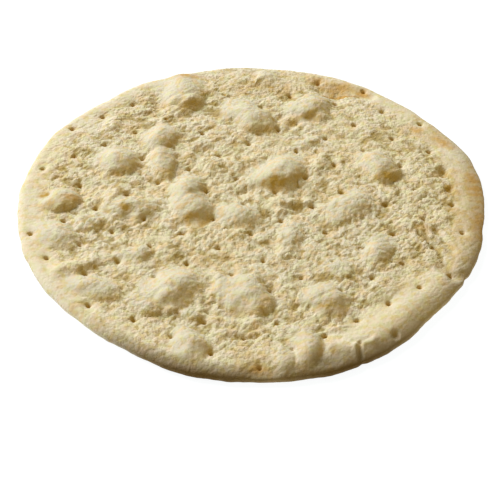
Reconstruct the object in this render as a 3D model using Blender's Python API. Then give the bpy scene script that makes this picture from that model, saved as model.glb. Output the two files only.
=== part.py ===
"""A round par-baked pizza base lying flat: one piece of dough with blisters, docking holes and a rounded rim.

Sizes and places are in millimetres, and become metres when the mesh is made. +X is to the viewer's right,
+Y points away from the viewer, and the origin is on the resting surface under the middle of the base.
"""

import math
from collections import namedtuple

import bmesh
import bpy
import numpy as np
from mathutils import noise

MM = 0.001
NAME = "pizza_base"

# Driving sizes
RADIUS = 151.8
THICKNESS = 7.5
WIDEST_AT = 3.4
FOOT_INSET = 2.0
SAG = 0.7
SAG_SIZE = 55.0
LUMP = 0.6
LUMP_SIZE = 11.0
LUMPS_START = 20.0
WANDERS = ((3.2, 16.0, 7.5), (0.9, 7.0, 11.5))

# How the outline leaves the circle: angle in degrees, half width in degrees, millimetres outwards
OUTLINE_SWELLS = (
    (16, 24, 5.4),
    (38, 30, 1.8),
    (50, 16, -0.1),
    (68, 26, 2.8),
    (92, 14, 2.3),
    (104, 22, 2.0),
    (121, 11, 2.6),
    (135, 34, 2.0),
    (148, 13, 1.7),
    (164, 36, 3.4),
    (228, 36, -3.9),
    (256, 16, 2.0),
    (286, 36, 3.8),
    (296, 14, 0.7),
    (322, 16, -2.5),
    (350, 22, 0.7),
)
# Ripples of the outline: millimetres, how many go round, and where they start in degrees
OUTLINE_RIPPLES = ((0.2, 19, 20), (0.18, 31, 140), (0.16, 47, 250))
# Cuts that run down the side of the rim: angle in degrees, half width in millimetres, depth
RIM_NOTCHES = ((296, 2.0, 1.0), (334.5, 3.0, 1.4))

# The rounding of the rim's upper edge, and where it is broader: angle in degrees, half width in degrees,
# millimetres more
ROUNDING = 6.5
BROADER_ROUNDINGS = ((262, 44, 5.0), (292, 30, 8.0), (318, 34, 5.0), (2, 46, 7.5))

# The rolled lip at the front right
LIP_ANGLE = 309
LIP_HALF_ANGLE = 42
LIP_RISE = 1.8
LIP_INSET = 15.0
LIP_HALF_WIDTH = 14.0
LIP_TROUGH = 0.9

# A blister's steep side faces the front right, where its foot is nearly upright. The other side runs out
# further, and is smoother and paler.
STEEP_SIDE = -50
RUN_OUT = 0.2
BLISTER_UNEVEN = 0.12

Blister = namedtuple("Blister", "x y length width turn rise roundness lean")
BLISTERS = (
    # the back third
    Blister(-49, 125, 40, 53, 7, 6.0, 1.8, 1.2),
    Blister(13, 141, 15, 22, 14, 2.3, 1.9, 0.4),
    Blister(42, 105, 42, 29, 40, 5.2, 1.9, 0.1),
    Blister(-2, 96, 49, 29, -42, 6.9, 2, 1.2),
    Blister(-62, 71, 34, 24, 47, 6.4, 1.7, 1),
    Blister(38, 66, 28, 11, 35, 2.2, 1.4, 0.5),
    Blister(116, 36, 26, 44, 21, 1.4, 1.4, 0.1),
    # the middle
    Blister(18, 35, 54, 33, 41, 8.4, 2.2, 1.1),
    Blister(85, 41, 25, 38, 31, 7.4, 1.1, 0.5),
    Blister(-90, 47, 33, 35, 17, 6.9, 2.1, 1.2),
    Blister(-59, 46, 18, 42, 9, 6.2, 1.2, 0.5),
    Blister(-42, 14, 44, 24, 73, 7.5, 1.9, 0.5),
    Blister(-125, 8, 26, 22, 23, 5.8, 1.3, 0.9),
    Blister(-81, -3, 49, 24, 21, 4.0, 1.5, 0.2),
    Blister(-37, -1, 28, 46, 12, 6.9, 1.8, -0.3),
    Blister(-9, -8, 37, 29, -8, 5.4, 2.3, 0.4),
    Blister(64, 0, 50, 27, 50, 4.7, 2.2, 1.2),
    Blister(27, -29, 20, 35, -23, 3.9, 1.7, 0.5),
    Blister(-105, -14, 30, 18, 45, 3.1, 1.6, 0.5),
    Blister(-124, -29, 37, 29, -20, 4.7, 1.8, 0.3),
    # the front third
    Blister(81, -43, 24, 38, -12, 4.8, 1.6, 0.8),
    Blister(-73, -45, 31, 16, 12, 3.1, 1.6, 0.5),
    Blister(54, -60, 24, 22, 26, 2.7, 1.1, 1.1),
    Blister(-49, -78, 39, 55, -48, 8.1, 2.3, 0.7),
    Blister(-97, -78, 47, 21, -20, 4.7, 1.8, 0.5),
    Blister(-4, -84, 33, 48, 30, 5.9, 1.9, 1.2),
    Blister(47, -90, 33, 32, 17, 5.8, 2.4, 0.4),
    Blister(-65, -92, 27, 20, -37, 4.1, 1.2, 0.7),
    Blister(-37, -102, 23, 11, -56, 2.4, 1.5, 0.2),
    Blister(1, -110, 11, 10, 0, 1.4, 1.4, 0.5),
    Blister(-37, -127, 33, 28, -60, 5.5, 2.4, 0.4),
    Blister(34, -129, 23, 36, 4, 4.4, 1.5, 0.4),
    Blister(18, -137, 15, 25, 5, 2.1, 1.2, 0.5),
)

# Low swells and hollows between the blisters
Swell = namedtuple("Swell", "x y length width turn rise")
SWELLS = (
    Swell(5, 135, 22, 6, 32, 2.8),
    Swell(-28, 129, 20, 12, -89, 1.6),
    Swell(58, 119, 34, 22, -45, -2.8),
    Swell(-19, 119, 11, 7, 61, 2.4),
    Swell(-52, 110, 16, 10, 22, 2.3),
    Swell(-64, 110, 21, 34, -7, -2.8),
    Swell(-22, 108, 23, 7, 48, -1.3),
    Swell(-44, 108, 28, 13, 35, 2.8),
    Swell(-70, 96, 21, 13, -6, -2.0),
    Swell(51, 95, 14, 15, -18, 2.8),
    Swell(22, 95, 16, 8, 35, -1.7),
    Swell(38, 94, 19, 11, 23, -1.4),
    Swell(41, 94, 18, 9, -16, -1.7),
    Swell(-58, 93, 20, 11, 70, 2.2),
    Swell(-95, 87, 16, 31, -17, 2.6),
    Swell(27, 86, 20, 9, 56, -2.2),
    Swell(69, 72, 28, 18, 28, -1.7),
    Swell(-23, 70, 20, 9, 31, 1.5),
    Swell(-118, 59, 23, 20, 2, 1.5),
    Swell(-32, 59, 30, 13, 26, -2.5),
    Swell(-43, 52, 19, 10, 86, 2.6),
    Swell(0, 47, 14, 28, -49, 2.8),
    Swell(60, 46, 18, 9, 68, 1.9),
    Swell(-12, 46, 20, 23, 27, 2.8),
    Swell(-27, 43, 23, 31, 48, 2.8),
    Swell(45, 43, 17, 34, -21, 2.6),
    Swell(-136, 36, 21, 13, -38, 1.6),
    Swell(129, 36, 18, 12, 48, -1.6),
    Swell(-91, 33, 12, 6, -23, -2.1),
    Swell(29, 27, 27, 17, 53, 2.7),
    Swell(-68, 22, 28, 15, 30, -1.4),
    Swell(9, 19, 19, 10, -15, -2.1),
    Swell(95, 17, 20, 13, -77, 1.9),
    Swell(-112, 16, 32, 29, 22, -2.8),
    Swell(-6, 16, 33, 17, 27, -2.1),
    Swell(111, 13, 25, 17, 39, 2.4),
    Swell(-90, 12, 18, 34, -27, 2.8),
    Swell(48, 12, 23, 34, -23, -2.6),
    Swell(33, 11, 33, 21, -36, -2.8),
    Swell(78, 0, 24, 23, 14, 1.6),
    Swell(21, -2, 11, 17, -4, 2.8),
    Swell(31, -5, 23, 13, -5, -1.5),
    Swell(-80, -8, 15, 19, -19, -2.8),
    Swell(125, -8, 15, 19, -11, 2.0),
    Swell(14, -8, 15, 10, 8, -1.9),
    Swell(-64, -13, 12, 24, -36, -2.5),
    Swell(104, -15, 28, 23, -39, 2.8),
    Swell(-35, -15, 34, 13, -5, -2.8),
    Swell(-89, -17, 26, 15, -19, 2.8),
    Swell(-48, -18, 21, 9, 68, -1.5),
    Swell(-9, -20, 17, 9, 21, -2.0),
    Swell(-9, -25, 24, 34, -17, 2.8),
    Swell(85, -32, 20, 13, -25, -1.8),
    Swell(15, -38, 12, 34, 2, -2.8),
    Swell(-3, -38, 10, 6, 72, 1.7),
    Swell(-52, -40, 16, 28, 11, 2.8),
    Swell(119, -43, 17, 27, 44, 2.8),
    Swell(23, -46, 17, 9, 43, 1.6),
    Swell(-12, -48, 18, 10, 89, -1.7),
    Swell(-91, -48, 21, 22, 12, -2.4),
    Swell(120, -60, 29, 16, 24, -1.9),
    Swell(2, -70, 27, 34, 1, 2.8),
    Swell(-23, -73, 25, 10, -85, -2.8),
    Swell(60, -73, 29, 19, 50, 2.1),
    Swell(80, -81, 20, 34, -31, 2.8),
    Swell(-31, -85, 27, 24, -14, 1.9),
    Swell(-53, -89, 18, 12, 10, 2.7),
    Swell(-22, -92, 18, 9, 73, -2.6),
    Swell(-100, -95, 16, 11, -5, -0.9),
    Swell(30, -95, 17, 10, 36, -1.5),
    Swell(-6, -98, 27, 23, 30, -2.8),
    Swell(-50, -98, 15, 8, 36, 2.0),
    Swell(-20, -100, 17, 12, -17, -2.8),
    Swell(44, -101, 17, 12, 11, 1.9),
    Swell(10, -107, 18, 10, 78, -1.7),
    Swell(51, -112, 17, 11, -2, 1.4),
    Swell(9, -119, 18, 7, 26, 1.3),
    Swell(-4, -122, 11, 8, -5, 2.1),
    Swell(73, -125, 22, 11, 1, 1.9),
    Swell(44, -129, 9, 28, 0, -1.5),
    Swell(57, -130, 22, 16, 0, 0.9),
    Swell(65, -130, 19, 10, 87, 2.5),
    Swell(129.5, 38, 9, 13, 15, -2.8),
    Swell(131.5, 20.5, 10, 10, 0, -2.8),
    Swell(154, 8, 44, 150, 0, -1.8),
    Swell(48, -138, 20, 18, 0, -1.6),
)

# Straight ridges, and the folds and hollows, which have a negative rise
Line = namedtuple("Line", "x1 y1 x2 y2 half_width rise")
LINES = (
    Line(-121, -62, -92, -49, 6, 2.8),
    Line(16, 6, 40, 6, 4, 2.2),
    Line(20, -1, 33, 0, 3, -1.6),
    Line(17, -30, 17, -50, 4, 1.8),
    Line(-20, -64, -22, -105, 5, 1.8),
    Line(-26, -78, -26, -103, 3, -1.4),
    Line(-12, -121, 2, -121, 3, -1.2),
    Line(117, -38, 127, -66, 5, -1.8),
    Line(127, -66, 140, -64, 4, -2.2),
    Line(47, 127, 82, 120, 5, -1.8),
    Line(1, -149, 10, -149, 6, -2.6),
    Line(66, -128, 67, -141, 1.7, -3.2),
    Line(88.5, -119.5, 90, -119, 2.0, -3.0),
    Line(64, -126, 72, -124, 2.5, -1.6),
    Line(120, -20, 128, -44, 3, -1.6),
)

# Docking holes: straight rows whose holes are evenly spaced, each row starting where the roller set it down
HOLE_SPACING = 24.4
ROW_SPACING = 26.0
ROWS_TURN = 34.2
FIRST_ROW = -134.7
ROW_STARTS = (-57, -95, -106, -134, -137, -124, -137, -120, -109, -97, -79)
HOLE_MARGIN = 6.0
ROW_BOW = 3.3
DIMPLE_DEPTH = 1.0
DIMPLE_REACH = 7.0
CLOSED_BY_RISE = 2.5
HOLE_DEPTH = 2.0
HOLE_PULL = 0.7

# Mesh: cells across the disc, and the rows down the side as (inset from the widest line, height or None for
# a point on the rounded top)
CELLS = 68
TOP_INSET = 5.5
SIDE_ROWS = ((1.8, None), (0.0, WIDEST_AT), (FOOT_INSET, 0.0))

CRUMB_COLOUR = (0.76, 0.66, 0.44, 1.0)
CRUMB_ROUGHNESS = 0.75


def bump(distance, reach):
    """1 at no distance, falling smoothly to 0 at the reach."""
    return 0.5 + 0.5 * np.cos(np.pi * np.clip(np.abs(distance) / reach, 0, 1))


def turn_between(angle, middle):
    """Degrees from the middle to the angle, from -180 to 180."""
    return (np.degrees(angle) - middle + 180) % 360 - 180


def uneven(x, y, size, layer):
    """Smooth irregular swells from about -1 to 1, each about size across."""
    return np.array([noise.noise((a / size, b / size, layer)) for a, b in zip(x, y)])


def outline_radius(angle):
    radius = np.full(np.shape(angle), RADIUS)
    for middle, reach, out in OUTLINE_SWELLS:
        radius += out * bump(turn_between(angle, middle), reach)
    for size, number, start in OUTLINE_RIPPLES:
        radius += size * np.sin(number * angle + math.radians(start))
    for middle, half_width, depth in RIM_NOTCHES:
        away = np.radians(turn_between(angle, middle)) * RADIUS
        radius -= depth * bump(away, 2 * half_width)
    return radius


def lip_share(angle):
    """How far the rim is the broad rolled lip at this angle."""
    return bump(turn_between(angle, LIP_ANGLE), LIP_HALF_ANGLE)


def rim_rounding(angle):
    """How far in from the outline the rim's rounded edge starts, at each angle."""
    rounding = np.full(np.shape(angle), ROUNDING)
    for middle, reach, more in BROADER_ROUNDINGS:
        rounding += more * bump(turn_between(angle, middle), reach)
    return rounding


def blister_height(x, y):
    height = np.zeros(np.shape(x))
    steep = math.radians(STEEP_SIDE)
    for b in BLISTERS:
        dx, dy = x - b.x, y - b.y
        turn = math.radians(b.turn)
        along = (dx * math.cos(turn) + dy * math.sin(turn)) / (b.length / 2)
        across = (dy * math.cos(turn) - dx * math.sin(turn)) / (b.width / 2)
        away = np.maximum(np.hypot(dx, dy), 1e-6)
        facing = (dx * math.cos(steep) + dy * math.sin(steep)) / away
        reach = 1 + RUN_OUT * np.clip(-facing, 0, 1)
        inside = np.clip(1 - (along**2 + across**2) / reach**2, 0, 1)
        height = np.maximum(height, b.rise * inside ** np.maximum(b.roundness - b.lean * facing, 0.35))
    return height


def swell_height(x, y):
    height = np.zeros(np.shape(x))
    for swell in SWELLS:
        turn = math.radians(swell.turn)
        along = (x - swell.x) * math.cos(turn) + (y - swell.y) * math.sin(turn)
        across = (y - swell.y) * math.cos(turn) - (x - swell.x) * math.sin(turn)
        height += swell.rise * bump(np.hypot(along / swell.length, across / swell.width), 0.5)
    return height


def line_height(x, y):
    height = np.zeros(np.shape(x))
    for line in LINES:
        run_x, run_y = line.x2 - line.x1, line.y2 - line.y1
        share = ((x - line.x1) * run_x + (y - line.y1) * run_y) / (run_x**2 + run_y**2)
        share = np.clip(share, 0, 1)
        away = np.hypot(x - line.x1 - share * run_x, y - line.y1 - share * run_y)
        height += line.rise * bump(away, 1.6 * line.half_width)
    return height


def hole_places():
    """The docking holes as (x, y, how open it still is): a blister that rises over a hole closes it."""
    turn = math.radians(ROWS_TURN)
    places = []
    for row, start in enumerate(ROW_STARTS):
        across = FIRST_ROW + row * ROW_SPACING
        along = start
        while along < RADIUS:
            x = along * math.cos(turn) + across * math.sin(turn)
            y = along * math.sin(turn) - across * math.cos(turn)
            y += ROW_BOW * (math.hypot(x, y) / RADIUS) ** 3
            if math.hypot(x, y) < outline_radius(math.atan2(y, x)) - HOLE_MARGIN:
                open_share = 1 - min(float(blister_height(x, y)) / CLOSED_BY_RISE, 1)
                places.append((x, y, open_share))
            along += HOLE_SPACING
    return places


def wandered(x, y):
    """The places moved a little, so that no blister or fold keeps a plain outline."""
    moved_x, moved_y = x, y
    for amount, size, layer in WANDERS:
        moved_x = moved_x + amount * uneven(x, y, size, layer)
        moved_y = moved_y + amount * uneven(x, y, size, layer + 2)
    return moved_x, moved_y


def top_height(x, y):
    """The height of the upper surface at each place within the outline."""
    angle = np.arctan2(y, x)
    edge = outline_radius(angle) - np.hypot(x, y)
    lip = lip_share(angle)
    height = THICKNESS + SAG * uneven(x, y, SAG_SIZE, 1.5)
    height += lip * LIP_RISE * bump(edge - LIP_INSET, LIP_HALF_WIDTH)
    height -= lip * LIP_TROUGH * bump(edge - 2.3 * LIP_INSET, LIP_HALF_WIDTH / 2)
    rough = np.clip((edge - LUMPS_START * (0.6 + 0.6 * lip)) / LUMPS_START, 0, 1)
    height += LUMP * rough * uneven(x, y, LUMP_SIZE, 4.5)
    moved_x, moved_y = wandered(x, y)
    height += blister_height(moved_x, moved_y) * (1 + BLISTER_UNEVEN * uneven(x, y, LUMP_SIZE, 5.5))
    height += swell_height(moved_x, moved_y) + line_height(moved_x, moved_y)
    for hole_x, hole_y, open_share in hole_places():
        height -= open_share * DIMPLE_DEPTH * bump(np.hypot(x - hole_x, y - hole_y), DIMPLE_REACH)
    near_edge = np.clip(edge / rim_rounding(angle), 0, 1)
    return WIDEST_AT + (height - WIDEST_AT) * np.sqrt(1 - (1 - near_edge) ** 2)


def disc_mesh():
    """A square grid bent into a unit disc, with side rows pulled from its rim and one face underneath."""
    bm = bmesh.new()
    bmesh.ops.create_grid(bm, x_segments=CELLS, y_segments=CELLS, size=1.0)
    for vert in bm.verts:
        x, y, _ = vert.co
        vert.co = (x * math.sqrt(1 - y * y / 2), y * math.sqrt(1 - x * x / 2), 0)
    rim = [edge for edge in bm.edges if edge.is_boundary]
    for row in range(len(SIDE_ROWS)):
        pulled = bmesh.ops.extrude_edge_only(bm, edges=rim)["geom"]
        rim = [part for part in pulled if isinstance(part, bmesh.types.BMEdge) and part.is_boundary]
        for vert in {vert for edge in rim for vert in edge.verts}:
            vert.co.z = -1 - row
    bmesh.ops.contextual_create(bm, geom=rim)
    bmesh.ops.recalc_face_normals(bm, faces=bm.faces)
    mesh = bpy.data.meshes.new(NAME)
    bm.to_mesh(mesh)
    bm.free()
    return mesh


def shaped_points(points):
    """The disc's points moved onto the bread's surface, in millimetres."""
    angle = np.arctan2(points[:, 1], points[:, 0])
    outline = outline_radius(angle)
    radius = np.hypot(points[:, 0], points[:, 1]) * (outline - TOP_INSET)
    height = np.full(len(points), np.nan)
    for row, (inset, level) in enumerate(SIDE_ROWS):
        on_row = np.round(points[:, 2]) == -1 - row
        radius[on_row] = outline[on_row] - inset
        if level is not None:
            height[on_row] = level
    x, y = radius * np.cos(angle), radius * np.sin(angle)
    on_top = np.isnan(height)
    height[on_top] = top_height(x[on_top], y[on_top])
    for hole_x, hole_y, open_share in hole_places():
        nearest = np.argmin(np.where(points[:, 2] == 0, np.hypot(x - hole_x, y - hole_y), np.inf))
        x[nearest] += HOLE_PULL * (hole_x - x[nearest])
        y[nearest] += HOLE_PULL * (hole_y - y[nearest])
        height[nearest] -= open_share * HOLE_DEPTH
    return np.column_stack([x, y, height])


def outline_middle():
    """The middle of the outline's bounding box, which becomes the origin."""
    angle = np.radians(np.arange(0, 360, 0.5))
    x = outline_radius(angle) * np.cos(angle)
    y = outline_radius(angle) * np.sin(angle)
    return np.array([(x.max() + x.min()) / 2, (y.max() + y.min()) / 2, 0])


def crumb_material():
    material = bpy.data.materials.new("baked_dough")
    material.use_nodes = True
    shader = material.node_tree.nodes["Principled BSDF"]
    shader.inputs["Base Color"].default_value = CRUMB_COLOUR
    shader.inputs["Roughness"].default_value = CRUMB_ROUGHNESS
    shader.inputs["Metallic"].default_value = 0.0
    material.diffuse_color = CRUMB_COLOUR
    return material


def make_base():
    mesh = disc_mesh()
    points = np.empty(len(mesh.vertices) * 3)
    mesh.vertices.foreach_get("co", points)
    shaped = (shaped_points(points.reshape(-1, 3)) - outline_middle()) * MM
    mesh.vertices.foreach_set("co", shaped.ravel())
    mesh.update()
    mesh.materials.append(crumb_material())
    mesh.shade_smooth()
    mesh.set_sharp_from_angle(angle=math.radians(60))
    base = bpy.data.objects.new(NAME, mesh)
    collection = bpy.data.collections.new("Pizza base")
    bpy.context.scene.collection.children.link(collection)
    collection.objects.link(base)
    return base


for old in list(bpy.data.objects):
    bpy.data.objects.remove(old, do_unlink=True)
make_base()
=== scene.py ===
import math
from collections import namedtuple

import bmesh
import bpy
import numpy as np
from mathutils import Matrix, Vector, noise


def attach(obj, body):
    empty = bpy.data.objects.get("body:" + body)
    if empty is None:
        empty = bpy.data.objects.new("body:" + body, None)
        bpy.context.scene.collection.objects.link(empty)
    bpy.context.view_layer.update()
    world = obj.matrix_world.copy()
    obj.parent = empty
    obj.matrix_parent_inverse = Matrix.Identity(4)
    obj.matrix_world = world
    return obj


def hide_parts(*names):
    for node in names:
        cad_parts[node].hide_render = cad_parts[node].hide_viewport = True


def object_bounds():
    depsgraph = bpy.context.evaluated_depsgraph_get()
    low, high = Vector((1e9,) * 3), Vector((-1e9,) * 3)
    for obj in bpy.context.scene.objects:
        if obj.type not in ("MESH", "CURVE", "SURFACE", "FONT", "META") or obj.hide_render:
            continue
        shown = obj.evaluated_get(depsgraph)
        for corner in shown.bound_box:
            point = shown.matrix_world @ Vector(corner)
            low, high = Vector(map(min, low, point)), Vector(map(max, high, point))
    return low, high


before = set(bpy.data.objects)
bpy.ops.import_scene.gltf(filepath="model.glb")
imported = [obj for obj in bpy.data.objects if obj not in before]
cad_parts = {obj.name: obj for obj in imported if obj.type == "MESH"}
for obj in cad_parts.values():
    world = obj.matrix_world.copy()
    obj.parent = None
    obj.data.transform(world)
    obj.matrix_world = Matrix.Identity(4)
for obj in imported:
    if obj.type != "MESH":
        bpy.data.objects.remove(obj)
cad_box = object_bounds()

# Sizes and places are in millimetres, and become metres when the mesh is made. Those of the rim, blisters,
# swells, lines and rows of holes are the CAD part's own.
MM = 0.001
NAME = "baked_dough_base"
NODE = "pizza_base"

# Driving sizes
RADIUS = 151.8
THICKNESS = 7.5
WIDEST_AT = 3.4
FOOT_INSET = 2.0
# The top's slow sag, and the lumps of the dough inside the smoother rim
SAG = 0.7
SAG_SIZE = 55.0
LUMP = 0.6
LUMP_SIZE = 11.0
LUMPS_START = 20.0
# How far the outlines of blisters, swells and lines wander: millimetres, the size of the waves, noise layer
WANDERS = ((3.2, 16.0, 7.5), (0.9, 7.0, 11.5))

# How the outline leaves the circle: angle in degrees, half width in degrees, millimetres outwards
OUTLINE_SWELLS = (
    (16, 24, 5.4),
    (38, 30, 1.8),
    (50, 16, -0.1),
    (68, 26, 2.8),
    (92, 14, 2.3),
    (104, 22, 2.0),
    (121, 11, 2.6),
    (135, 34, 2.0),
    (148, 13, 1.7),
    (164, 36, 3.4),
    (228, 36, -3.9),
    (256, 16, 2.0),
    (286, 36, 3.8),
    (296, 14, 0.7),
    (322, 16, -2.5),
    (350, 22, 0.7),
)
# Ripples of the outline: millimetres, how many go round, and where they start in degrees
OUTLINE_RIPPLES = ((0.2, 19, 20), (0.18, 31, 140), (0.16, 47, 250))
# Cuts that run down the side of the rim: angle in degrees, half width in millimetres, depth
RIM_NOTCHES = ((296, 2.0, 1.0), (334.5, 3.0, 1.4))

# The rounding of the rim's upper edge, and where it is broader: angle in degrees, half width in degrees,
# millimetres more
ROUNDING = 6.5
BROADER_ROUNDINGS = ((262, 44, 5.0), (292, 30, 8.0), (318, 34, 5.0), (2, 46, 7.5))

# The rolled lip at the front right
LIP_ANGLE = 309
LIP_HALF_ANGLE = 42
LIP_RISE = 1.8
LIP_INSET = 15.0
LIP_HALF_WIDTH = 14.0
LIP_TROUGH = 0.9
LIP_TROUGH_INSET = 2.3 * LIP_INSET

# A blister's steep side faces the front right, away from the light, where its foot is nearly upright and is
# given gold as painted shade. The other side, towards the light, runs out further, and is smoother and paler:
# partly drier dough, partly painted highlight.
STEEP_SIDE = -50
RUN_OUT = 0.2
BLISTER_UNEVEN = 0.12
LEAST_ROUNDNESS = 0.35
# The rise from which a blister's dome is wholly smoothed, and its side towards the light wholly pale, partly
# painted highlight
SMOOTH_RISE = 6
PALE_RISE = 5

Blister = namedtuple("Blister", "x y length width turn rise roundness lean")
BLISTERS = (
    # the back third
    Blister(-49, 125, 40, 53, 7, 6.0, 1.8, 1.2),
    Blister(13, 141, 15, 22, 14, 2.3, 1.9, 0.4),
    Blister(42, 105, 42, 29, 40, 5.2, 1.9, 0.1),
    Blister(-2, 96, 49, 29, -42, 6.9, 2, 1.2),
    Blister(-62, 71, 34, 24, 47, 6.4, 1.7, 1),
    Blister(38, 66, 28, 11, 35, 2.2, 1.4, 0.5),
    Blister(116, 36, 26, 44, 21, 1.4, 1.4, 0.1),
    # the middle
    Blister(18, 35, 54, 33, 41, 8.4, 2.2, 1.1),
    Blister(85, 41, 25, 38, 31, 7.4, 1.1, 0.5),
    Blister(-90, 47, 33, 35, 17, 6.9, 2.1, 1.2),
    Blister(-59, 46, 18, 42, 9, 6.2, 1.2, 0.5),
    Blister(-42, 14, 44, 24, 73, 7.5, 1.9, 0.5),
    Blister(-125, 8, 26, 22, 23, 5.8, 1.3, 0.9),
    Blister(-81, -3, 49, 24, 21, 4.0, 1.5, 0.2),
    Blister(-37, -1, 28, 46, 12, 6.9, 1.8, -0.3),
    Blister(-9, -8, 37, 29, -8, 5.4, 2.3, 0.4),
    Blister(64, 0, 50, 27, 50, 4.7, 2.2, 1.2),
    Blister(27, -29, 20, 35, -23, 3.9, 1.7, 0.5),
    Blister(-105, -14, 30, 18, 45, 3.1, 1.6, 0.5),
    Blister(-124, -29, 37, 29, -20, 4.7, 1.8, 0.3),
    # the front third
    Blister(81, -43, 24, 38, -12, 4.8, 1.6, 0.8),
    Blister(-73, -45, 31, 16, 12, 3.1, 1.6, 0.5),
    Blister(54, -60, 24, 22, 26, 2.7, 1.1, 1.1),
    Blister(-49, -78, 39, 55, -48, 8.1, 2.3, 0.7),
    Blister(-97, -78, 47, 21, -20, 4.7, 1.8, 0.5),
    Blister(-4, -84, 33, 48, 30, 5.9, 1.9, 1.2),
    Blister(47, -90, 33, 32, 17, 5.8, 2.4, 0.4),
    Blister(-65, -92, 27, 20, -37, 4.1, 1.2, 0.7),
    Blister(-37, -102, 23, 11, -56, 2.4, 1.5, 0.2),
    Blister(1, -110, 11, 10, 0, 1.4, 1.4, 0.5),
    Blister(-37, -127, 33, 28, -60, 5.5, 2.4, 0.4),
    Blister(34, -129, 23, 36, 4, 4.4, 1.5, 0.4),
    Blister(18, -137, 15, 25, 5, 2.1, 1.2, 0.5),
)

# Low swells and hollows between the blisters
Swell = namedtuple("Swell", "x y length width turn rise")
SWELLS = (
    Swell(5, 135, 22, 6, 32, 2.8),
    Swell(-28, 129, 20, 12, -89, 1.6),
    Swell(58, 119, 34, 22, -45, -2.8),
    Swell(-19, 119, 11, 7, 61, 2.4),
    Swell(-52, 110, 16, 10, 22, 2.3),
    Swell(-64, 110, 21, 34, -7, -2.8),
    Swell(-22, 108, 23, 7, 48, -1.3),
    Swell(-44, 108, 28, 13, 35, 2.8),
    Swell(-70, 96, 21, 13, -6, -2.0),
    Swell(51, 95, 14, 15, -18, 2.8),
    Swell(22, 95, 16, 8, 35, -1.7),
    Swell(38, 94, 19, 11, 23, -1.4),
    Swell(41, 94, 18, 9, -16, -1.7),
    Swell(-58, 93, 20, 11, 70, 2.2),
    Swell(-95, 87, 16, 31, -17, 2.6),
    Swell(27, 86, 20, 9, 56, -2.2),
    Swell(69, 72, 28, 18, 28, -1.7),
    Swell(-23, 70, 20, 9, 31, 1.5),
    Swell(-118, 59, 23, 20, 2, 1.5),
    Swell(-32, 59, 30, 13, 26, -2.5),
    Swell(-43, 52, 19, 10, 86, 2.6),
    Swell(0, 47, 14, 28, -49, 2.8),
    Swell(60, 46, 18, 9, 68, 1.9),
    Swell(-12, 46, 20, 23, 27, 2.8),
    Swell(-27, 43, 23, 31, 48, 2.8),
    Swell(45, 43, 17, 34, -21, 2.6),
    Swell(-136, 36, 21, 13, -38, 1.6),
    Swell(129, 36, 18, 12, 48, -1.6),
    Swell(-91, 33, 12, 6, -23, -2.1),
    Swell(29, 27, 27, 17, 53, 2.7),
    Swell(-68, 22, 28, 15, 30, -1.4),
    Swell(9, 19, 19, 10, -15, -2.1),
    Swell(95, 17, 20, 13, -77, 1.9),
    Swell(-112, 16, 32, 29, 22, -2.8),
    Swell(-6, 16, 33, 17, 27, -2.1),
    Swell(111, 13, 25, 17, 39, 2.4),
    Swell(-90, 12, 18, 34, -27, 2.8),
    Swell(48, 12, 23, 34, -23, -2.6),
    Swell(33, 11, 33, 21, -36, -2.8),
    Swell(78, 0, 24, 23, 14, 1.6),
    Swell(21, -2, 11, 17, -4, 2.8),
    Swell(31, -5, 23, 13, -5, -1.5),
    Swell(-80, -8, 15, 19, -19, -2.8),
    Swell(125, -8, 15, 19, -11, 2.0),
    Swell(14, -8, 15, 10, 8, -1.9),
    Swell(-64, -13, 12, 24, -36, -2.5),
    Swell(104, -15, 28, 23, -39, 2.8),
    Swell(-35, -15, 34, 13, -5, -2.8),
    Swell(-89, -17, 26, 15, -19, 2.8),
    Swell(-48, -18, 21, 9, 68, -1.5),
    Swell(-9, -20, 17, 9, 21, -2.0),
    Swell(-9, -25, 24, 34, -17, 2.8),
    Swell(85, -32, 20, 13, -25, -1.8),
    Swell(15, -38, 12, 34, 2, -2.8),
    Swell(-3, -38, 10, 6, 72, 1.7),
    Swell(-52, -40, 16, 28, 11, 2.8),
    Swell(119, -43, 17, 27, 44, 2.8),
    Swell(23, -46, 17, 9, 43, 1.6),
    Swell(-12, -48, 18, 10, 89, -1.7),
    Swell(-91, -48, 21, 22, 12, -2.4),
    Swell(120, -60, 29, 16, 24, -1.9),
    Swell(2, -70, 27, 34, 1, 2.8),
    Swell(-23, -73, 25, 10, -85, -2.8),
    Swell(60, -73, 29, 19, 50, 2.1),
    Swell(80, -81, 20, 34, -31, 2.8),
    Swell(-31, -85, 27, 24, -14, 1.9),
    Swell(-53, -89, 18, 12, 10, 2.7),
    Swell(-22, -92, 18, 9, 73, -2.6),
    Swell(-100, -95, 16, 11, -5, -0.9),
    Swell(30, -95, 17, 10, 36, -1.5),
    Swell(-6, -98, 27, 23, 30, -2.8),
    Swell(-50, -98, 15, 8, 36, 2.0),
    Swell(-20, -100, 17, 12, -17, -2.8),
    Swell(44, -101, 17, 12, 11, 1.9),
    Swell(10, -107, 18, 10, 78, -1.7),
    Swell(51, -112, 17, 11, -2, 1.4),
    Swell(9, -119, 18, 7, 26, 1.3),
    Swell(-4, -122, 11, 8, -5, 2.1),
    Swell(73, -125, 22, 11, 1, 1.9),
    Swell(44, -129, 9, 28, 0, -1.5),
    Swell(57, -130, 22, 16, 0, 0.9),
    Swell(65, -130, 19, 10, 87, 2.5),
    Swell(129.5, 38, 9, 13, 15, -2.8),
    Swell(131.5, 20.5, 10, 10, 0, -2.8),
    Swell(154, 8, 44, 150, 0, -1.8),
    Swell(48, -138, 20, 18, 0, -1.6),
)

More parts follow.
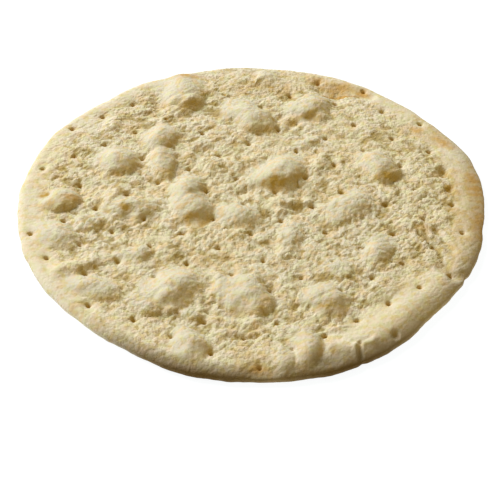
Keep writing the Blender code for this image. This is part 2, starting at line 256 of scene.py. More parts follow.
# Straight ridges, and the folds and hollows, which have a negative rise
Line = namedtuple("Line", "x1 y1 x2 y2 half_width rise")
LINES = (
    Line(-121, -62, -92, -49, 6, 2.8),
    Line(16, 6, 40, 6, 4, 2.2),
    Line(20, -1, 33, 0, 3, -1.6),
    Line(17, -30, 17, -50, 4, 1.8),
    Line(-20, -64, -22, -105, 5, 1.8),
    Line(-26, -78, -26, -103, 3, -1.4),
    Line(-12, -121, 2, -121, 3, -1.2),
    Line(117, -38, 127, -66, 5, -1.8),
    Line(127, -66, 140, -64, 4, -2.2),
    Line(47, 127, 82, 120, 5, -1.8),
    Line(1, -149, 10, -149, 6, -2.6),
    Line(66, -128, 67, -141, 1.7, -3.2),
    Line(88.5, -119.5, 90, -119, 2.0, -3.0),
    Line(64, -126, 72, -124, 2.5, -1.6),
    Line(120, -20, 128, -44, 3, -1.6),
)

# A line or crease fades out at this many half widths
LINE_REACH = 1.6

# Docking holes: straight rows whose holes are evenly spaced, each row starting where the roller set it down
HOLE_SPACING = 24.4
ROW_SPACING = 26.0
ROWS_TURN = 34.2
FIRST_ROW = -134.7
ROW_STARTS = (-57, -95, -106, -134, -137, -124, -137, -120, -109, -97, -79)
HOLE_MARGIN = 6.0
ROW_BOW = 3.3
DIMPLE_DEPTH = 1.0
DIMPLE_REACH = 7.0
CLOSED_BY_RISE = 2.5
# The narrow shaft of a hole, which the CAD part has in a plainer form, and the dough round it that is given
# gold as painted shade
HOLE_DEPTH = 3.4
HOLE_REACH = 2.4
HOLE_HALO = 5.5

# The crumb: rounded ridges with narrow creases, drawn out along the way the dough stretched, with rolls,
# grain and pocks. Each lay is (direction in degrees, how drawn out, size, the y where it is strongest, its
# reach in y)
CRUMB_LAYS = ((60, 1.6, 3.8, -5, 90), (12, 3.6, 3.1, 112, 58), (34, 2.0, 3.6, -110, 80))
LEAST_OF_A_LAY = 0.02
CRUMB_DEPTH = 1.0
# A ridge's sides are steep and its top is broad
RIDGE_STEEPNESS = 3.2
RIDGE_ROUNDNESS = 0.7
# How far the creases wander: millimetres, the size of the waves, layer of noise
CRUMB_WANDERS = ((2.2, 9, 12.5), (1.5, 3.0, 13.5))
ROLL_SIZE = 7.0
ROLL_DEPTH = 0.6
ROLLS_UNCREASED = 0.7
GRAIN_SIZE = 2.0
GRAIN_DEPTH = 0.8
GRAIN_TURN = 45
GRAIN_DRAWN = 1.2
POCK_SPACING = 6.5
POCK_REACH = 1.9
POCK_DEPTH = 1.1
# A pock's depth as a share: the usual one, and how much it varies
POCK_USUAL = 0.25
POCK_VARIETY = 1.6
# Narrow creases through the crumb: x and y of both ends, half width, depth
CREASES = (
    (109, -24, 117, -38, 1.1, 1.2),
    (117, -38, 127, -62, 1.3, 1.6),
    (127, -62, 138, -66, 1.3, 1.2),
    (48, 121, 81, 120, 1.2, 1.6),
    (33, -93, 49, -85, 1.2, 1.6),
    (21, -50, 33, -49, 1.0, 1.2),
    (-12, -121, 6, -120, 1.0, 1.0),
)
# How much of the crumb is left on the blisters' domes and on the rim, and the share of the rim's that the lip
# smooths away
CRUMB_ON_SMOOTH = 0.46
CRUMB_ON_RIM = 0.6
LIP_SMOOTHING = 0.6
# How much more of the creases' painted shade, in olive, is left than of their depth
CREASES_SHOWN = 1.2
# Where the rim is smoother, beside the lip: angle in degrees, half width in degrees, how wide it is there.
# The outer share of that width is the smoothest
RIM_SMOOTHING = 0.8
SMOOTHEST_SHARE = 0.4
SMOOTH_RIMS = ((4, 58, 30.0), (50, 40, 20.0), (132, 40, 18.0), (192, 72, 26.0))
# Where the crumb is softer: x, y, length, width, turn in degrees, strength
SOFT_PATCHES = (
    (58, 86, 90, 60, -20, 0.3),
    (96, -102, 120, 44, 45, 0.55),
    (0, -110, 80, 50, 0, 0.15),
    (10, -40, 80, 50, 0, 0.12),
    (-110, 88, 60, 44, 50, 0.25),
)
# The roughness of the rim's side
SIDE_ROUGH = 0.35
SIDE_ROUGH_SIZE = 5.0
# The finest grains, which are bump alone: their height and sizes, and how far and how widely they are warped
BUMP_DEPTH = 0.8
BUMP_GRAIN_SIZE = 2.3
BUMP_FINE_SIZE = 1.7
WARP = 1.6
WARP_SIZE = 2.6
CREASE_STRENGTH = 0.7
# How large the blotches, the yellow mottle, the pink and green tint and the specks of the colour are
BLOTCH_SIZE = 24
MOTTLE_SIZE = 4.5
TINT_SIZE = 4.6
SPECK_SIZE = 1.5

# How much gold is given as painted shade at the steep feet of blisters, in the deepest folds and hollows, and
# at the edges of holes
SHADE_GOLD_AT_FOOT = 0.5
SHADE_GOLD_IN_HOLLOW = 0.4
SHADE_GOLD_AT_HOLE = 0.45
# The depths at which the painted shade in a fold and in a hollow would be wholly gold
FOLD_FOR_GOLD = 5
HOLLOW_FOR_GOLD = 8
# A patch fades out at this many times its half size
PATCH_REACH = 1.25
# Places where the dough is golden, and where it is toasted: partly real golden and toasted spots, and partly
# painted shade at the blisters' feet and on the right and back rim. x, y, length, width, turn in degrees,
# strength
GOLD_AND_SHADE_PATCHES = (
    (-82, -4, 13, 13, 10, 0.8),
    (-81, 13, 12, 6, 20, 0.6),
    (-16, -47, 7, 12, 0, 0.5),
    (-16, -64, 7, 12, 0, 0.5),
    (3, 131, 22, 6, 20, 0.6),
    (-27, 123, 12, 7, 20, 0.5),
    (-16, 118, 10, 7, 0, 0.5),
    (130, 6, 9, 8, 0, 0.8),
    (28, 89, 12, 10, 0, 0.8),
    (-39, 106, 20, 7, 30, 0.8),
    (90, 28, 26, 10, 6, 1.0),
    (15, 22, 32, 11, 6, 1.0),
    (41, 95, 22, 7, 12, 0.9),
    (47, -95, 24, 9, 25, 0.9),
    (-100, -58, 20, 8, 12, 0.6),
    (-137, 12, 13, 11, 0, 1.0),
    (-133, 0, 24, 11, 10, 0.6),
    (-42, -12, 22, 10, 10, 0.8),
    (0, -138, 76, 20, 0, 0.36),
    (10, 129, 96, 30, 0, 0.5),
    (133, 48, 24, 26, 0, 0.4),
    (51, -132, 14, 16, 0, 0.6),
    (95, -77, 34, 28, 45, 0.5),
    (131.5, 20, 12, 12, 0, 1.0),
    (137, 6, 40, 130, 2, 0.5),
    (133, -38, 36, 60, -5, 0.5),
    (124, 76, 40, 50, -42, 0.4),
    (129, 37, 9, 10, 0, 1.0),
)
TOASTED_AND_SHADE_PATCHES = (
    (2, -111, 10, 8, 20, 0.6),
    (4, -147, 14, 10, 0, 1.0),
    (62, 129, 44, 14, -14, 0.75),
    (64, 121, 36, 3, -2, 1.0),
    (78, 122, 16, 8, -20, 1.0),
    (48, 137, 20, 9, -10, 0.8),
    (-45, 139, 26, 12, 12, 0.8),
    (131, 67, 26, 12, -42, 0.8),
    (113, 81, 18, 10, -40, 0.8),
    (149.5, 22, 19, 56, 8, 0.9),
    (150.5, -14, 19, 60, -6, 0.95),
    (110, -21, 14, 8, 0, 0.5),
    (-120, 5, 22, 11, 12, 0.7),
)

# The browned side of the rim, partly real browning and partly painted shade where it faces away from the
# light:
# angle in degrees, half width in degrees, strength. It ends at most this far in from the outline, and is
# hardly seen elsewhere
SIDE_BROWNING_AND_SHADE = ((258, 34, 1.0), (292, 34, 1.0), (345, 55, 0.5))
SIDE_BROWN_SHADE_REACH = 11.0
SIDE_BROWN_SHADE_LEAST = 0.04
SIDE_BROWN_SHADE_FADE = 0.8
# Painted shade beside it at the front, laid out like the gold patches
PAINTED_SHADE_PATCHES = ((47, -142, 46, 18, 14, 0.75), (50, -131, 20, 12, 0, 0.25))

# Mesh: cells across the top and across the underside, the top's inset, and the rows down the side as
# (inset, height or None for a point on the rounded top)
TOP_CELLS = 284
UNDER_CELLS = 71
TOP_INSET = 1.2
FOOT_STEPS = 4
SIDE_ROWS = [(0.6, None), (0.2, None), (0.0, WIDEST_AT)] + [
    (
        FOOT_INSET * (1 - math.cos(math.pi / 2 * step / FOOT_STEPS)),
        WIDEST_AT * (1 - math.sin(math.pi / 2 * step / FOOT_STEPS)),
    )
    for step in range(1, FOOT_STEPS + 1)
]
UNDER_INSET = 2.5
UNDER_RELIEF = 0.5
UNDER_RELIEF_SIZE = 14

# Camera, in the outline's own millimetres
CAMERA_AIM = (-0.7, -34.0)
CAMERA_DISTANCE = 1268.0
CAMERA_ELEVATION = 42.3
CAMERA_LENS = 141.2
SENSOR_WIDTH = 36.0

# Studio, in metres, watts and linear colours
FLOOR_SIZE = 6.0
FLOOR_DROP = 0.0002
FLOOR_COLOUR = (0.2, 0.205, 0.21, 1)
FLOOR_ROUGHNESS = 0.9
FLOOR_GLOW = 0.93
FLOOR_GLOW_COLOUR = (0.96, 0.98, 1.0, 1)
WINDOW_PLACE = (-1.85, 1.65, 1.8)
WINDOW_SIZE = 1.5
WINDOW_WATTS = 87
ROOM_LIGHT = 0.38
ROOM_COLOUR = (1, 0.893, 0.585, 1)


def bump(distance, reach):
    """1 at no distance, falling smoothly to 0 at the reach."""
    return 0.5 + 0.5 * np.cos(np.pi * np.clip(np.abs(distance) / reach, 0, 1))


def turn_between(angle, middle):
    """Degrees from the middle to the angle, from -180 to 180."""
    return (np.degrees(angle) - middle + 180) % 360 - 180


def uneven(x, y, size, layer):
    """Smooth irregular swells from about -1 to 1, each about size across. Each layer has its own pattern."""
    return np.array([noise.noise((a / size, b / size, layer)) for a, b in zip(x, y)])


def along_and_across(x, y, turn):
    """How far each place is along a direction, given in degrees, and across it."""
    turn = math.radians(turn)
    return x * math.cos(turn) + y * math.sin(turn), y * math.cos(turn) - x * math.sin(turn)


def from_line(x, y, x1, y1, x2, y2):
    """How far each place is from the straight line between two points."""
    run_x, run_y = x2 - x1, y2 - y1
    share = np.clip(((x - x1) * run_x + (y - y1) * run_y) / (run_x**2 + run_y**2), 0, 1)
    return np.hypot(x - x1 - share * run_x, y - y1 - share * run_y)


def outline_radius(angle):
    radius = np.full(np.shape(angle), RADIUS)
    for middle, reach, out in OUTLINE_SWELLS:
        radius += out * bump(turn_between(angle, middle), reach)
    for size, number, start in OUTLINE_RIPPLES:
        radius += size * np.sin(number * angle + math.radians(start))
    for middle, half_width, depth in RIM_NOTCHES:
        away = np.radians(turn_between(angle, middle)) * RADIUS
        radius -= depth * bump(away, 2 * half_width)
    return radius


def outline_middle():
    """The middle of the outline's bounding box, which is the origin of the frame."""
    angle = np.radians(np.arange(0, 360, 0.5))
    x = outline_radius(angle) * np.cos(angle)
    y = outline_radius(angle) * np.sin(angle)
    return np.array([(x.max() + x.min()) / 2, (y.max() + y.min()) / 2, 0])


def lip_share(angle):
    """How far the rim is the broad rolled lip at this angle."""
    return bump(turn_between(angle, LIP_ANGLE), LIP_HALF_ANGLE)


def rim_rounding(angle):
    """How far in from the outline the rim's rounded edge starts, at each angle."""
    rounding = np.full(np.shape(angle), ROUNDING)
    for middle, reach, more in BROADER_ROUNDINGS:
        rounding += more * bump(turn_between(angle, middle), reach)
    return rounding


def blister_forms(x, y):
    """The blisters' height, and how far each place lies on a dome, on its paler side towards the light
    (partly painted highlight) and low on its steep side, which is given painted shade.
    """
    height = np.zeros(np.shape(x))
    domed = np.zeros(np.shape(x))
    pale_and_lit = np.zeros(np.shape(x))
    foot_shade = np.zeros(np.shape(x))
    steep = math.radians(STEEP_SIDE)
    for b in BLISTERS:
        dx, dy = x - b.x, y - b.y
        along, across = along_and_across(dx, dy, b.turn)
        away = np.maximum(np.hypot(dx, dy), 1e-6)
        facing = (dx * math.cos(steep) + dy * math.sin(steep)) / away
        reach = 1 + RUN_OUT * np.clip(-facing, 0, 1)
        from_middle = (along / (b.length / 2)) ** 2 + (across / (b.width / 2)) ** 2
        inside = np.clip(1 - from_middle / reach**2, 0, 1)
        roundness = np.maximum(b.roundness - b.lean * facing, LEAST_ROUNDNESS)
        height = np.maximum(height, b.rise * inside**roundness)
        domed = np.maximum(domed, np.minimum(2 * inside, 1) * min(b.rise / SMOOTH_RISE, 1))
        # Paler on the side towards the light: partly drier dough, partly painted highlight
        lit_side = np.clip(0.75 - facing * (1 - inside), 0, 1)
        pale_and_lit = np.maximum(pale_and_lit, inside * lit_side * min(b.rise / PALE_RISE, 1))
        # Painted shade: gold low on each blister's steep side, which faces away from the light
        at_foot_shade = np.clip(1.2 * facing, 0, 1) * bump(inside - 0.25, 0.5) * min(b.rise / SMOOTH_RISE, 1)
        foot_shade = np.maximum(foot_shade, np.where(inside > 0, at_foot_shade, 0) * np.minimum(6 * inside, 1))
    return height, domed, pale_and_lit, foot_shade


def blister_height(x, y):
    return blister_forms(x, y)[0]


def swell_height(x, y):
    height = np.zeros(np.shape(x))
    for swell in SWELLS:
        along, across = along_and_across(x - swell.x, y - swell.y, swell.turn)
        height += swell.rise * bump(np.hypot(along / swell.length, across / swell.width), 0.5)
    return height


def line_height(x, y):
    height = np.zeros(np.shape(x))
    for line in LINES:
        away = from_line(x, y, line.x1, line.y1, line.x2, line.y2)
        height += line.rise * bump(away, LINE_REACH * line.half_width)
    return height


def hole_places():
    """The docking holes as (x, y, how open it still is): a blister that rises over a hole closes it."""
    turn = math.radians(ROWS_TURN)
    places = []
    for row, start in enumerate(ROW_STARTS):
        across = FIRST_ROW + row * ROW_SPACING
        along = start
        while along < RADIUS:
            x = along * math.cos(turn) + across * math.sin(turn)
            y = along * math.sin(turn) - across * math.cos(turn)
            y += ROW_BOW * (math.hypot(x, y) / RADIUS) ** 3
            if math.hypot(x, y) < outline_radius(math.atan2(y, x)) - HOLE_MARGIN:
                open_share = 1 - min(float(blister_height(x, y)) / CLOSED_BY_RISE, 1)
                places.append((x, y, open_share))
            along += HOLE_SPACING
    return places


def wandered(x, y, waves):
    """The places moved a little, so that no form keeps a plain outline."""
    moved_x, moved_y = x, y
    for amount, size, layer in waves:
        moved_x = moved_x + amount * uneven(x, y, size, layer)
        moved_y = moved_y + amount * uneven(x, y, size, layer + 2)
    return moved_x, moved_y


def ridges(x, y, size, turn, drawn, layer):
    """Rounded ridges from 0 in the narrow creases to 1 on top, drawn out along a direction."""
    along, across = along_and_across(x, y, turn)
    steps = np.abs(uneven(along / drawn, across, size, layer))
    return np.clip(steps * RIDGE_STEEPNESS, 0, 1) ** RIDGE_ROUNDNESS


def pocks(x, y):
    """Small pits at scattered places, from 0 outside to 1 in the middle of the deepest."""
    depth = np.zeros(len(x))
    for number, (a, b) in enumerate(zip(x / POCK_SPACING, y / POCK_SPACING)):
        distances, places = noise.voronoi((a, b, 60.5))
        if distances[0] ** 0.5 < POCK_REACH / POCK_SPACING:
            deep = max(0.0, POCK_USUAL + POCK_VARIETY * noise.noise(places[0] * 3.1))
            depth[number] = min(deep, 1.0) * bump(distances[0] ** 0.5, POCK_REACH / POCK_SPACING)
    return depth


def crease_depths(x, y):
    """How deep the narrow creases cut in at each place, in millimetres."""
    depths = np.zeros(len(x))
    for x1, y1, x2, y2, half_width, depth in CREASES:
        away = from_line(x, y, x1, y1, x2, y2)
        depths = np.maximum(depths, depth * bump(away, LINE_REACH * half_width))
    return depths


def crumb_relief(x, y):
    """The fine relief in millimetres, 0 on the ridges and negative in the creases, and how creased it is."""
    total = np.zeros(len(x))
    weights = np.zeros(len(x))
    drift_x, drift_y = wandered(x, y, CRUMB_WANDERS)
    for number, (turn, drawn, size, middle, reach) in enumerate(CRUMB_LAYS):
        weight = bump(y - middle, reach) + LEAST_OF_A_LAY
        total += weight * ridges(drift_x, drift_y, size, turn, drawn, 20.5 + number)
        weights += weight
    creased = 1 - total / weights
    rolls = uneven(drift_x, drift_y, ROLL_SIZE, 27.5)
    grain = GRAIN_DEPTH * (1 - ridges(x, y, GRAIN_SIZE, GRAIN_TURN, GRAIN_DRAWN, 30.5))
    pitted = pocks(x, y)
    cut = crease_depths(drift_x, drift_y)
    relief = ROLL_DEPTH * rolls - CRUMB_DEPTH * creased - grain - POCK_DEPTH * pitted - cut
    return relief, np.clip(creased + pitted + cut - ROLLS_UNCREASED * rolls, 0, 1)


def top_surface(x, y):
    """The height of the upper surface at each place within the outline, and its colour values: how creased
    and pitted it is, both given painted shade; how pale it is on the side towards the light, partly painted
    highlight; how gold it is, partly painted shade; and how rough it is."""
    angle = np.arctan2(y, x)
    edge = outline_radius(angle) - np.hypot(x, y)
    lip = lip_share(angle)
    height = THICKNESS + SAG * uneven(x, y, SAG_SIZE, 1.5)
    height += lip * LIP_RISE * bump(edge - LIP_INSET, LIP_HALF_WIDTH)
    height -= lip * LIP_TROUGH * bump(edge - LIP_TROUGH_INSET, LIP_HALF_WIDTH / 2)
    rough = np.clip((edge - LUMPS_START * (0.6 + 0.6 * lip)) / LUMPS_START, 0, 1)
    height += LUMP * rough * uneven(x, y, LUMP_SIZE, 4.5)
    moved_x, moved_y = wandered(x, y, WANDERS)
    blisters, domed, pale_and_lit, foot_shade = blister_forms(moved_x, moved_y)
    height += blisters * (1 + BLISTER_UNEVEN * uneven(x, y, LUMP_SIZE, 5.5))
    swells, lines = swell_height(moved_x, moved_y), line_height(moved_x, moved_y)
    height += swells + lines
    # Painted shade: gold in the deepest folds and hollows, and low on the blisters' steep sides
    fold_shade = np.clip(-lines / FOLD_FOR_GOLD, 0, SHADE_GOLD_IN_HOLLOW)
    hollow_shade = np.clip(-swells / HOLLOW_FOR_GOLD, 0, SHADE_GOLD_IN_HOLLOW)
    golden_and_shade = np.clip(SHADE_GOLD_AT_FOOT * foot_shade + fold_shade + hollow_shade, 0, 1)
    pits = np.zeros(len(x))
    for hole_x, hole_y, open_share in hole_places():
        away = np.hypot(x - hole_x, y - hole_y)
        height -= open_share * DIMPLE_DEPTH * bump(away, DIMPLE_REACH)
        pits = np.maximum(pits, open_share * bump(away, HOLE_REACH))
        # Painted shade: gold round each open hole
        golden_and_shade = np.maximum(golden_and_shade, SHADE_GOLD_AT_HOLE * open_share * bump(away, HOLE_HALO))
    height -= HOLE_DEPTH * pits
    relief, creased = crumb_relief(x, y)
    pale_and_lit = np.clip(2 * pale_and_lit, 0, 1)
    on_rim = CRUMB_ON_RIM * (1 - LIP_SMOOTHING * lip)
    share = on_rim + (1 - on_rim) * rough
    for middle, reach, width in SMOOTH_RIMS:
        calm = RIM_SMOOTHING * bump(turn_between(angle, middle), reach) ** 0.5
        past = np.maximum(edge - SMOOTHEST_SHARE * width, 0)
        share = np.minimum(share, 1 - calm * bump(past, (1 - SMOOTHEST_SHARE) * width))
    share *= (1 - (1 - CRUMB_ON_SMOOTH) * domed) * (1 - patched(x, y, SOFT_PATCHES))
    height += share * relief
    near_edge = np.clip(edge / rim_rounding(angle), 0, 1)
    height = WIDEST_AT + (height - WIDEST_AT) * np.sqrt(1 - (1 - near_edge) ** 2)
    # How creased each place is sets the painted shade in its creases
    creased *= np.clip(share * CREASES_SHOWN, 0, 1)
    return height, creased, pits, pale_and_lit, golden_and_shade, share


def to_disc(bm, verts, level):
    """Bends a square grid's vertices into the unit disc, at a level that tells them from other rows."""
    for vert in verts:
        x, y, _ = vert.co
        vert.co = (x * math.sqrt(1 - y * y / 2), y * math.sqrt(1 - x * x / 2), level)


def disc_mesh():
    """The closed disc: a fine top, rows down the side, and a coarser underside bridged to the last row."""
    bm = bmesh.new()
    top = bmesh.ops.create_grid(bm, x_segments=TOP_CELLS, y_segments=TOP_CELLS, size=1.0)["verts"]
    to_disc(bm, top, 0)
    rim = [edge for edge in bm.edges if edge.is_boundary]
    for row in range(len(SIDE_ROWS)):
        pulled = bmesh.ops.extrude_edge_only(bm, edges=rim)["geom"]
        rim = [part for part in pulled if isinstance(part, bmesh.types.BMEdge) and part.is_boundary]
        for vert in {vert for edge in rim for vert in edge.verts}:
            vert.co.z = -1 - row
    under = bmesh.ops.create_grid(bm, x_segments=UNDER_CELLS, y_segments=UNDER_CELLS, size=1.0)["verts"]
    to_disc(bm, under, -2 - len(SIDE_ROWS))
    inner = [edge for edge in bm.edges if edge.is_boundary and edge not in set(rim)]
    bmesh.ops.bridge_loops(bm, edges=rim + inner)
    bmesh.ops.recalc_face_normals(bm, faces=bm.faces)
    mesh = bpy.data.meshes.new(NAME)
    bm.to_mesh(mesh)
    bm.free()
    return mesh


def patched(x, y, patches):
    """How strongly each place is within one of the patches, from 0 to 1."""
    strongest = np.zeros(len(x))
    for place_x, place_y, length, width, turn, strength in patches:
        along, across = along_and_across(x - place_x, y - place_y, turn)
        away = np.hypot(along / (length / 2), across / (width / 2))
        strongest = np.maximum(strongest, strength * bump(away, PATCH_REACH))
    return strongest


def side_browning_and_shade(angle, edge):
    """How browned the rim's side is, partly real browning and partly painted shade: at the front and right,
    and hardly elsewhere.
    """
    brown_and_shade = np.full(np.shape(angle), SIDE_BROWN_SHADE_LEAST)
    for middle, reach, strength in SIDE_BROWNING_AND_SHADE:
        brown_and_shade = np.maximum(brown_and_shade, strength * bump(turn_between(angle, middle), reach) ** 0.5)
    reach = np.minimum(rim_rounding(angle), SIDE_BROWN_SHADE_REACH)
    return brown_and_shade * np.clip(1 - edge / reach, 0, 1) ** SIDE_BROWN_SHADE_FADE


def shaped(points):
    """The disc's points moved onto the bread's surface in millimetres, and their colour values."""
    angle = np.arctan2(points[:, 1], points[:, 0])
    outline = outline_radius(angle)
    level = np.round(points[:, 2])
    radius = np.hypot(points[:, 0], points[:, 1]) * (outline - TOP_INSET)
    height = np.full(len(points), np.nan)
    side_rough = uneven(*(points[:, :2].T * RADIUS), SIDE_ROUGH_SIZE, 40.5)
    for row, (inset, row_height) in enumerate(SIDE_ROWS):
        on_row = level == -1 - row
        radius[on_row] = outline[on_row] - inset - SIDE_ROUGH * np.abs(side_rough[on_row])
        if row_height is not None:
            height[on_row] = row_height
    under = level == -2 - len(SIDE_ROWS)
    reach = np.hypot(points[under, 0], points[under, 1])
    radius[under] = reach * (outline[under] - FOOT_INSET - UNDER_INSET)
    x, y = radius * np.cos(angle), radius * np.sin(angle)
    height[under] = UNDER_RELIEF * np.clip(uneven(x[under], y[under], UNDER_RELIEF_SIZE, 50.5), 0, 1)
    on_top = np.isnan(height)
    names = ("creased", "pit_shade", "pale_and_lit", "golden_and_shade", "rough")
    values = {name: np.zeros(len(points)) for name in names}
    values["rough"] += 1
    height[on_top], *found = top_surface(x[on_top], y[on_top])
    for name, value in zip(names, found):
        values[name][on_top] = value
    # Gold and toast from the patches, which are partly painted shade
    values["golden_and_shade"] = np.maximum(values["golden_and_shade"], np.where(on_top, patched(x, y, GOLD_AND_SHADE_PATCHES), 0))
    values |= {
        "toasted_and_shade": np.where(on_top, patched(x, y, TOASTED_AND_SHADE_PATCHES), 0),
        # The side's brown is partly painted shade, and so are the patches laid beside it
        "side": np.maximum(side_browning_and_shade(angle, outline - radius), patched(x, y, PAINTED_SHADE_PATCHES)),
    }
    return np.column_stack([x, y, height]), values


def srgb(red, green, blue):
    """A linear colour from display values of 0 to 255."""
    shares = np.array([red, green, blue]) / 255
    return (*np.where(shares <= 0.04045, shares / 12.92, ((shares + 0.055) / 1.055) ** 2.4), 1.0)


class Nodes:
    """Adds and links a material's nodes with few words."""

    def __init__(self, material):
        material.use_nodes = True
        self.tree = material.node_tree
        self.shader = self.tree.nodes["Principled BSDF"]

    def add(self, kind, settings=(), **inputs):
        """A new node with its settings, and its inputs given by name, with _ for a space."""
        node = self.tree.nodes.new(kind)
        for name, value in dict(settings).items():
            setattr(node, name, value)
        for name, value in inputs.items():
            self.put(node.inputs[name.replace("_", " ")], value)
        return node

    def put(self, socket, value):
        if isinstance(value, bpy.types.NodeSocket):
            self.tree.links.new(value, socket)
        else:
            socket.default_value = value

    def value(self, name):
        return self.add("ShaderNodeAttribute", {"attribute_name": name}).outputs["Fac"]

    def noise(self, place, size_mm, detail=2.0):
        made = self.add("ShaderNodeTexNoise", Vector=place, Scale=1 / (size_mm * MM), Detail=detail)
        return made.outputs["Fac"]

    def maths(self, operation, first, second=0.0):
        made = self.add("ShaderNodeMath", {"operation": operation})
        self.put(made.inputs[0], first)
        self.put(made.inputs[1], second)
        return made.outputs[0]

    def spread(self, value, low, high, to_low=0.0, to_high=1.0):
        made = self.add("ShaderNodeMapRange", {"interpolation_type": "SMOOTHSTEP"})
        for name, given in zip(("Value", "From Min", "From Max", "To Min", "To Max"),
                               (value, low, high, to_low, to_high)):
            self.put(made.inputs[name], given)
        return made.outputs["Result"]

    def mix(self, share, first, second):
        made = self.add("ShaderNodeMix", {"data_type": "RGBA"})
        self.put(made.inputs["Factor"], share)
        self.put(made.inputs["A"], first)
        self.put(made.inputs["B"], second)
        return made.outputs["Result"]


def dough_material():
    material = bpy.data.materials.new("baked_dough_crumb")
    nodes = Nodes(material)
    place = nodes.add("ShaderNodeTexCoord").outputs["Object"]
    blotch = nodes.noise(place, BLOTCH_SIZE, detail=3.0)
    mottle = nodes.noise(place, MOTTLE_SIZE)
    tint = nodes.noise(place, TINT_SIZE)
    speck = nodes.noise(place, SPECK_SIZE)
    broken = nodes.spread(mottle, 0.3, 0.6, 0.5, 1.0)
    cream, straw, pale = srgb(243, 239, 227), srgb(238, 228, 200), srgb(227, 222, 205)
    pink, green = srgb(244, 212, 190), srgb(222, 224, 164)
    yellow, olive, gold = srgb(228, 206, 132), srgb(168, 140, 46), srgb(190, 150, 44)
    toast_and_shade, brown_and_shade = srgb(214, 168, 90), srgb(99, 74, 23)
    colour = nodes.mix(nodes.spread(blotch, 0.35, 0.65), straw, nodes.mix(0.5, straw, cream))
    # Painted highlight in part: pale on the blisters' sides towards the light, which are also drier
    colour = nodes.mix(nodes.spread(nodes.value("pale_and_lit"), 0.1, 0.9), colour, pale)
    colour = nodes.mix(nodes.spread(mottle, 0.48, 0.66, 0, 0.62), colour, yellow)
    colour = nodes.mix(nodes.spread(tint, 0.5, 0.66, 0, 0.36), colour, pink)
    colour = nodes.mix(nodes.spread(tint, 0.5, 0.34, 0, 0.42), colour, green)
    colour = nodes.mix(nodes.spread(speck, 0.6, 0.78, 0, 0.3), colour, olive)
    # Painted shade: olive in the creases
    creased = nodes.spread(nodes.value("creased"), 0.2, 1.0, 0, 0.7)
    colour = nodes.mix(creased, colour, olive)
    # Painted shade: gold on the surfaces that face away from the light
    colour = nodes.mix(nodes.spread(nodes.value("away_shade"), 0.0, 0.7, 0, 0.58), colour, gold)
    # Gold that is partly painted shade, at blister feet, folds, hollows and holes, and partly real golden
    # spots
    golden_and_shade = nodes.maths("MULTIPLY", nodes.spread(nodes.value("golden_and_shade"), 0.1, 0.9, 0, 0.85), broken)
    colour = nodes.mix(golden_and_shade, colour, gold)
    # Painted shade: gold deep in the holes
    colour = nodes.mix(nodes.spread(nodes.value("pit_shade"), 0.15, 0.8, 0, 0.9), colour, gold)
    # Toasted colour, partly painted shade on the rim
    toasted_and_shade = nodes.maths("MULTIPLY", nodes.value("toasted_and_shade"), broken)
    colour = nodes.mix(toasted_and_shade, colour, toast_and_shade)
    # The rim's side: partly real browning, partly painted shade
    colour = nodes.mix(nodes.value("side"), colour, brown_and_shade)
    nodes.put(nodes.shader.inputs["Base Color"], colour)
    nodes.put(nodes.shader.inputs["Roughness"], nodes.spread(speck, 0.3, 0.7, 0.68, 0.86))
    nodes.shader.inputs["Specular IOR Level"].default_value = 0.25
    nodes.put(nodes.shader.inputs["Normal"], fine_relief(nodes, place))
    return material


def fine_relief(nodes, place):
    """The bump of the finest grains and creases, weaker where the dough is smoother."""
    rough = nodes.spread(nodes.value("rough"), 0.1, 0.9, 0.3, 0.85)
    waves = nodes.add("ShaderNodeTexNoise", Vector=place, Scale=1 / (WARP_SIZE * MM), Detail=1.0)
    warped = nodes.add("ShaderNodeVectorMath", {"operation": "MULTIPLY_ADD"})
    nodes.put(warped.inputs[0], waves.outputs["Color"])
    nodes.put(warped.inputs[1], (WARP * MM, WARP * MM, WARP * MM))
    nodes.put(warped.inputs[2], place)
    grains = nodes.add(
        "ShaderNodeTexVoronoi",
        {"feature": "F1"},
        Vector=warped.outputs[0],
        Scale=1 / (BUMP_GRAIN_SIZE * MM),
        Detail=1.0,
    )
    creases = nodes.add(
        "ShaderNodeBump",
        {"invert": True},
        Strength=nodes.maths("MULTIPLY", rough, CREASE_STRENGTH),
        Distance=BUMP_DEPTH * MM,
        Height=grains.outputs["Distance"],
    )
    fine = nodes.add(
        "ShaderNodeBump",
        Strength=rough,
        Distance=BUMP_DEPTH * MM,
        Height=nodes.noise(place, BUMP_FINE_SIZE, detail=3.0),
        Normal=creases.outputs["Normal"],
    )
    return fine.outputs["Normal"]


def facing_away_shade(mesh):
    """How far the surface at each point faces the front right, away from the light: the side that is given
    gold as painted shade.
    """
    normals = np.empty(len(mesh.vertices) * 3)
    mesh.vertex_normals.foreach_get("vector", normals)
    turn = math.radians(STEEP_SIDE)
    return (normals.reshape(-1, 3) @ (math.cos(turn), math.sin(turn), 0)).astype(np.float32)


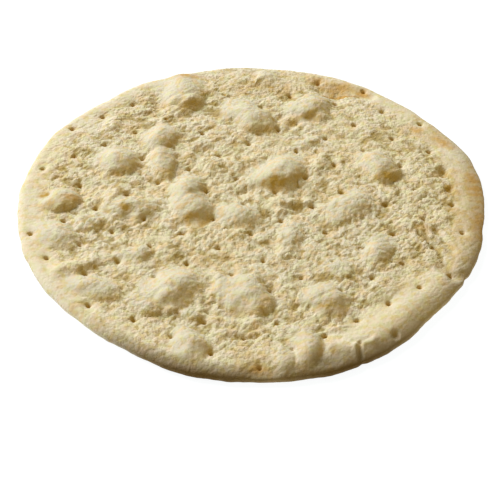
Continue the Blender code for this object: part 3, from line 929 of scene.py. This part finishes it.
def make_base():
    mesh = disc_mesh()
    points = np.empty(len(mesh.vertices) * 3)
    mesh.vertices.foreach_get("co", points)
    places, values = shaped(points.reshape(-1, 3))
    places = (places - outline_middle()) * MM
    places[:, 2] = np.clip(places[:, 2], 0, cad_box[1].z)
    mesh.vertices.foreach_set("co", places.ravel())
    for name, value in values.items():
        mesh.attributes.new(name, "FLOAT", "POINT").data.foreach_set("value", value.astype(np.float32))
    mesh.update()
    # Painted shade: how far each surface faces away from the light, for its gold
    mesh.attributes.new("away_shade", "FLOAT", "POINT").data.foreach_set("value", facing_away_shade(mesh))
    mesh.shade_smooth()
    mesh.materials.append(dough_material())
    base = bpy.data.objects.new(NAME, mesh)
    bpy.context.scene.collection.objects.link(base)
    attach(base, "root")
    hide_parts(NODE)
    return base


def make_floor():
    bpy.ops.mesh.primitive_plane_add(size=FLOOR_SIZE, location=(0, 0, -FLOOR_DROP))
    floor = bpy.context.object
    floor.name = "studio_floor"
    material = bpy.data.materials.new("studio_white")
    material.use_nodes = True
    shader = material.node_tree.nodes["Principled BSDF"]
    shader.inputs["Base Color"].default_value = FLOOR_COLOUR
    shader.inputs["Roughness"].default_value = FLOOR_ROUGHNESS
    shader.inputs["Emission Color"].default_value = FLOOR_GLOW_COLOUR
    shader.inputs["Emission Strength"].default_value = FLOOR_GLOW
    floor.data.materials.append(material)


def aimed_at(place, target):
    return (Vector(target) - Vector(place)).to_track_quat("-Z", "Y").to_euler()


def make_window_light():
    light = bpy.data.lights.new("window_light", "AREA")
    light.size = WINDOW_SIZE
    light.energy = WINDOW_WATTS
    lamp = bpy.data.objects.new("window_light", light)
    lamp.location = WINDOW_PLACE
    lamp.rotation_euler = aimed_at(WINDOW_PLACE, (0, 0, 0))
    bpy.context.scene.collection.objects.link(lamp)


def make_studio():
    make_window_light()
    world = bpy.data.worlds.new("studio")
    world.use_nodes = True
    background = world.node_tree.nodes["Background"]
    background.inputs["Color"].default_value = ROOM_COLOUR
    background.inputs["Strength"].default_value = ROOM_LIGHT
    bpy.context.scene.world = world
    bpy.context.scene.view_settings.view_transform = "Standard"


def make_camera():
    middle = outline_middle()
    aim = Vector((CAMERA_AIM[0] - middle[0], CAMERA_AIM[1] - middle[1], 0)) * MM
    elevation = math.radians(CAMERA_ELEVATION)
    back = Vector((0, -math.cos(elevation), math.sin(elevation)))
    lens = bpy.data.cameras.new("photo_camera")
    lens.lens = CAMERA_LENS
    lens.sensor_width = SENSOR_WIDTH
    camera = bpy.data.objects.new("photo_camera", lens)
    camera.location = aim + back * CAMERA_DISTANCE * MM
    camera.rotation_euler = aimed_at(camera.location, aim)
    bpy.context.scene.collection.objects.link(camera)
    bpy.context.scene.camera = camera


make_base()
make_floor()
make_studio()
make_camera()
